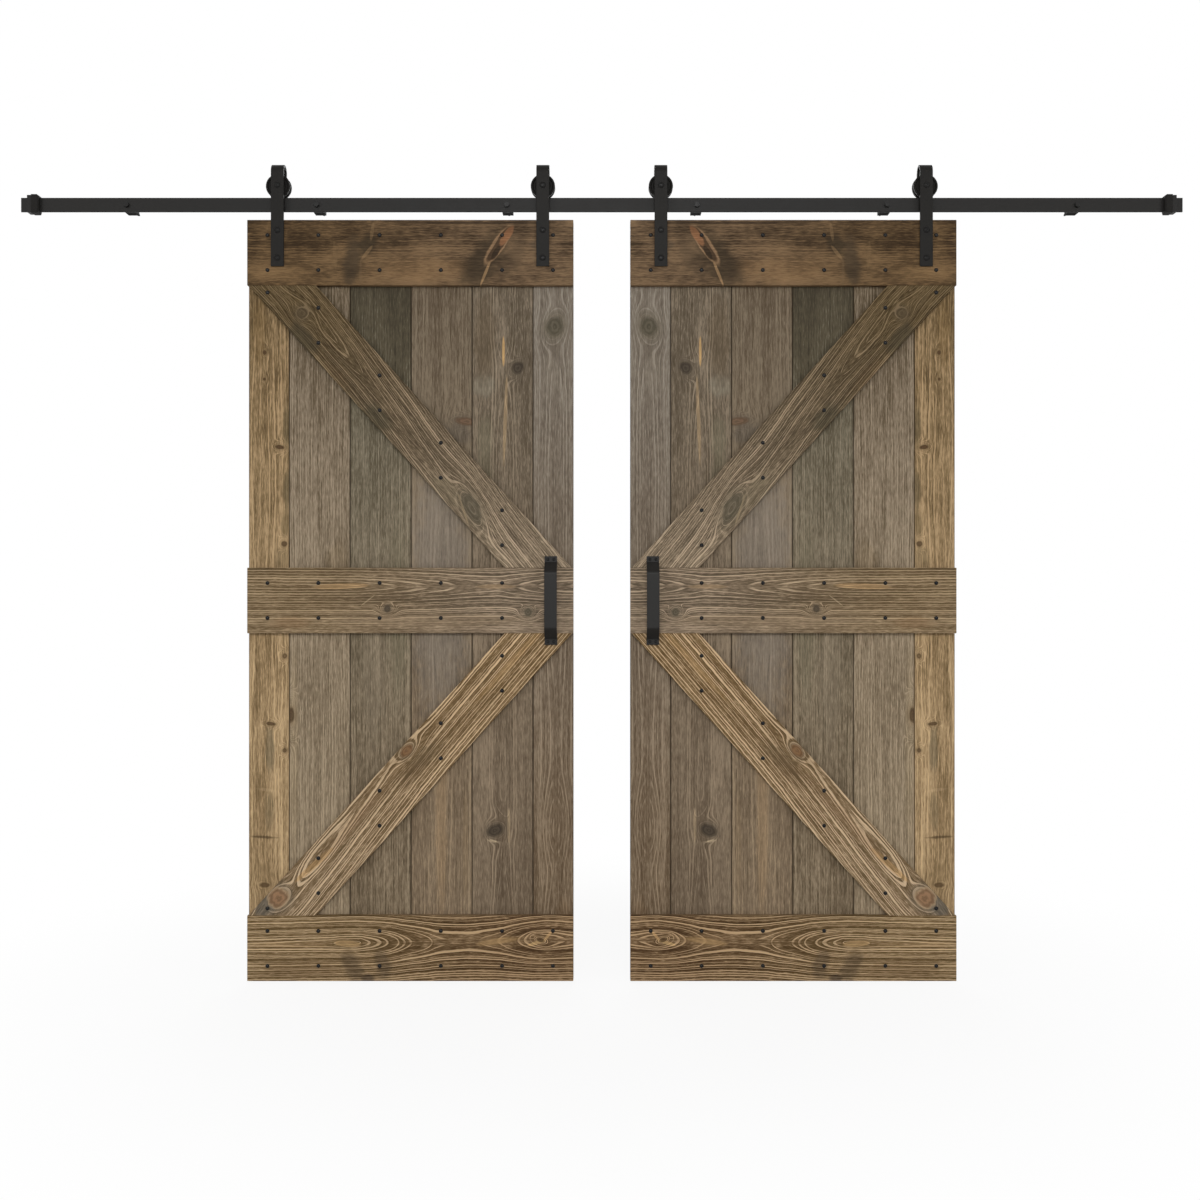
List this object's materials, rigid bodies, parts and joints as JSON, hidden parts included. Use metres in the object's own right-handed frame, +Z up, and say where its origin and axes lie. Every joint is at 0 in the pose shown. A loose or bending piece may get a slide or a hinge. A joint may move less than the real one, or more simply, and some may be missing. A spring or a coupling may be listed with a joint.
{
  "type": "sliding barn doors",
  "caption": "Pair of K-braced plank barn doors on bent strap hangers with grooved rollers, sliding on a flat wall track with spacers, end stops and pull handles.",
  "frame": {"origin": "on the wall plane behind the spacers, at the height of the track's centre line, midway between the doors at rest", "axes": "+X to the right along the track, +Y into the wall, +Z up"},
  "size_m": [3.266, 0.1695, 2.2914],
  "materials": {
    "plank_wood": "grey-brown stained pine",
    "rail_wood": "dark brown stained pine",
    "brace_wood": "golden brown stained pine",
    "black_steel": "satin black powder coat",
    "black_fastener": "semi-gloss black",
    "bumper_rubber": "matt black rubber",
    "bearing_steel": "bright ground steel"
  },
  "bodies": {
    "track": {"track_rail": "black_steel", "wall_spacers": "black_steel", "lag_screws": "black_fastener", "stop_set_screws": "black_fastener", "left_stop_collar": "black_steel", "left_stop_bumper": "bumper_rubber", "right_stop_collar": "black_steel", "right_stop_bumper": "bumper_rubber"},
    "left_door": {"left_plank_1": "plank_wood", "left_plank_2": "plank_wood", "left_plank_3": "plank_wood", "left_plank_4": "plank_wood", "left_plank_5": "plank_wood", "left_plank_6": "plank_wood", "left_top_rail": "rail_wood", "left_middle_rail": "rail_wood", "left_bottom_rail": "rail_wood", "left_upper_brace": "brace_wood", "left_lower_brace": "brace_wood", "left_nails": "black_fastener", "left_pull_handle": "black_steel", "left_handle_screws": "black_fastener", "left_strap_bolts": "black_fastener", "left_strap_nuts": "black_fastener", "left_axle_bolts": "black_fastener", "left_axle_nuts": "black_fastener", "left_axle_bushes": "bearing_steel", "left_bearing_inner_rings": "bearing_steel", "left_outer_strap": "black_steel", "left_inner_strap": "black_steel"},
    "right_door": {"right_plank_1": "plank_wood", "right_plank_2": "plank_wood", "right_plank_3": "plank_wood", "right_plank_4": "plank_wood", "right_plank_5": "plank_wood", "right_plank_6": "plank_wood", "right_top_rail": "rail_wood", "right_middle_rail": "rail_wood", "right_bottom_rail": "rail_wood", "right_upper_brace": "brace_wood", "right_lower_brace": "brace_wood", "right_nails": "black_fastener", "right_pull_handle": "black_steel", "right_handle_screws": "black_fastener", "right_strap_bolts": "black_fastener", "right_strap_nuts": "black_fastener", "right_axle_bolts": "black_fastener", "right_axle_nuts": "black_fastener", "right_axle_bushes": "bearing_steel", "right_bearing_inner_rings": "bearing_steel", "right_outer_strap": "black_steel", "right_inner_strap": "black_steel"},
    "left_outer_roller": {"left_outer_wheel": "black_steel", "left_outer_bearing": "bearing_steel"},
    "left_inner_roller": {"left_inner_wheel": "black_steel", "left_inner_bearing": "bearing_steel"},
    "right_outer_roller": {"right_outer_wheel": "black_steel", "right_outer_bearing": "bearing_steel"},
    "right_inner_roller": {"right_inner_wheel": "black_steel", "right_inner_bearing": "bearing_steel"}
  },
  "joints": [
    {"name": "left_door_slide", "type": "slide", "parent": "track", "child": "left_door", "axis": [1, 0, 0], "range_m": [-0.65, 0.0785]},
    {"name": "left_outer_roller_turn", "type": "hinge", "parent": "left_door", "child": "left_outer_roller", "pos_m": [-0.9085, -0.063, 0.0503], "axis": [0, 1, 0], "continuous": true},
    {"name": "left_inner_roller_turn", "type": "hinge", "parent": "left_door", "child": "left_inner_roller", "pos_m": [-0.1655, -0.063, 0.0503], "axis": [0, 1, 0], "continuous": true},
    {"name": "right_door_slide", "type": "slide", "parent": "track", "child": "right_door", "axis": [1, 0, 0], "range_m": [-0.0785, 0.65]},
    {"name": "right_outer_roller_turn", "type": "hinge", "parent": "right_door", "child": "right_outer_roller", "pos_m": [0.9085, -0.063, 0.0503], "axis": [0, 1, 0], "continuous": true},
    {"name": "right_inner_roller_turn", "type": "hinge", "parent": "right_door", "child": "right_inner_roller", "pos_m": [0.1655, -0.063, 0.0503], "axis": [0, 1, 0], "continuous": true}
  ],
  "couplings": [
    {"joint": "left_outer_roller_turn", "follows": "left_door_slide", "rad_per_m": 33.333},
    {"joint": "left_inner_roller_turn", "follows": "left_door_slide", "rad_per_m": 33.333},
    {"joint": "right_outer_roller_turn", "follows": "right_door_slide", "rad_per_m": 33.333},
    {"joint": "right_inner_roller_turn", "follows": "right_door_slide", "rad_per_m": 33.333}
  ]
}
